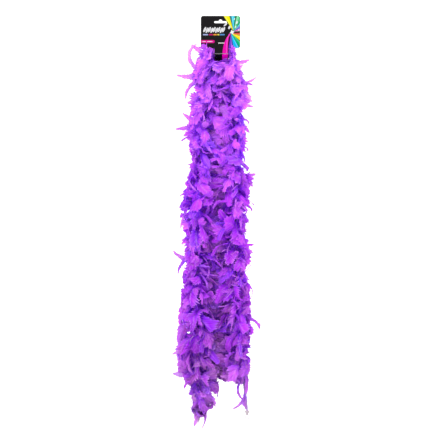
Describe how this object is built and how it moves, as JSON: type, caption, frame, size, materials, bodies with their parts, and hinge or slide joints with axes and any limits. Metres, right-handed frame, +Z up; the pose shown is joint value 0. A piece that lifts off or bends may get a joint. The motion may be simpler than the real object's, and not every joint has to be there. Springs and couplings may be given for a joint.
{
  "type": "feather boa",
  "caption": "Fluffy violet feather boa folded in half over the strap of a printed header card with a shop hang slot.",
  "frame": {"origin": "centre of the straight part of the header card's hang slot, in the card's middle plane", "axes": "+X to the right seen from the printed front, +Y to the back, +Z up; the boa hangs down along -Z"},
  "size_m": [0.2256, 0.1106, 1.0516],
  "materials": {
    "printed_card": "black printed and varnished paperboard with a multicoloured streamer print",
    "core_cord": "dyed twisted cotton cord",
    "binding_thread": "dyed thread wound round the quills",
    "feathers": "soft dyed violet feathers with pale orchid edges"
  },
  "bodies": {
    "header": {"header_card": "printed_card", "strap_underfold": "printed_card"},
    "strap_flap": {"strap_back": "printed_card", "lock_tab": "printed_card"},
    "bight": {"core_cord_bight": "core_cord", "binding_thread_bight": "binding_thread", "feathers_bight_middle": "feathers", "feathers_bight_left": "feathers", "feathers_bight_right": "feathers"},
    "left_upper": {"core_cord_left_1": "core_cord", "binding_thread_left_1": "binding_thread", "feathers_left_1": "feathers"},
    "left_middle": {"core_cord_left_2": "core_cord", "binding_thread_left_2": "binding_thread", "feathers_left_2": "feathers"},
    "left_lower": {"core_cord_left_3": "core_cord", "binding_thread_left_3": "binding_thread", "feathers_left_3": "feathers"},
    "left_end": {"core_cord_left_4": "core_cord", "binding_thread_left_4": "binding_thread", "feathers_left_4": "feathers", "end_knot_left": "core_cord", "end_tail_left": "core_cord"},
    "right_upper": {"core_cord_right_1": "core_cord", "binding_thread_right_1": "binding_thread", "feathers_right_1": "feathers"},
    "right_middle": {"core_cord_right_2": "core_cord", "binding_thread_right_2": "binding_thread", "feathers_right_2": "feathers"},
    "right_lower": {"core_cord_right_3": "core_cord", "binding_thread_right_3": "binding_thread", "feathers_right_3": "feathers"},
    "right_end": {"core_cord_right_4": "core_cord", "binding_thread_right_4": "binding_thread", "feathers_right_4": "feathers", "end_knot_right": "core_cord", "end_loop_right": "core_cord"}
  },
  "joints": [
    {"name": "strap_fold", "type": "hinge", "parent": "header", "child": "strap_flap", "pos_m": [0.0025, 0.024, -0.098], "axis": [-1, 0, 0], "range_deg": [0, 100]},
    {"name": "bight_sway", "type": "hinge", "parent": "header", "child": "bight", "pos_m": [0.0025, 0.015, -0.081], "axis": [1, 0, 0], "range_deg": [-25, 25]},
    {"name": "left_spread", "type": "hinge", "parent": "bight", "child": "left_upper", "pos_m": [-0.028, 0.015, -0.112], "axis": [0, 1, 0], "range_deg": [0, 40]},
    {"name": "left_swing", "type": "hinge", "parent": "left_upper", "child": "left_middle", "pos_m": [-0.053, 0.015, -0.332], "axis": [1, 0, 0], "range_deg": [-35, 35]},
    {"name": "left_lower_spread", "type": "hinge", "parent": "left_middle", "child": "left_lower", "pos_m": [-0.06, 0.015, -0.552], "axis": [0, 1, 0], "range_deg": [0, 40]},
    {"name": "left_end_swing", "type": "hinge", "parent": "left_lower", "child": "left_end", "pos_m": [-0.059, 0.015, -0.772], "axis": [1, 0, 0], "range_deg": [-35, 35]},
    {"name": "right_spread", "type": "hinge", "parent": "bight", "child": "right_upper", "pos_m": [0.033, 0.015, -0.112], "axis": [0, -1, 0], "range_deg": [0, 40]},
    {"name": "right_swing", "type": "hinge", "parent": "right_upper", "child": "right_middle", "pos_m": [0.041, 0.015, -0.332], "axis": [1, 0, 0], "range_deg": [-35, 35]},
    {"name": "right_lower_spread", "type": "hinge", "parent": "right_middle", "child": "right_lower", "pos_m": [0.038, 0.015, -0.552], "axis": [0, -1, 0], "range_deg": [0, 40]},
    {"name": "right_end_swing", "type": "hinge", "parent": "right_lower", "child": "right_end", "pos_m": [0.044, 0.015, -0.772], "axis": [1, 0, 0], "range_deg": [-35, 35]}
  ]
}
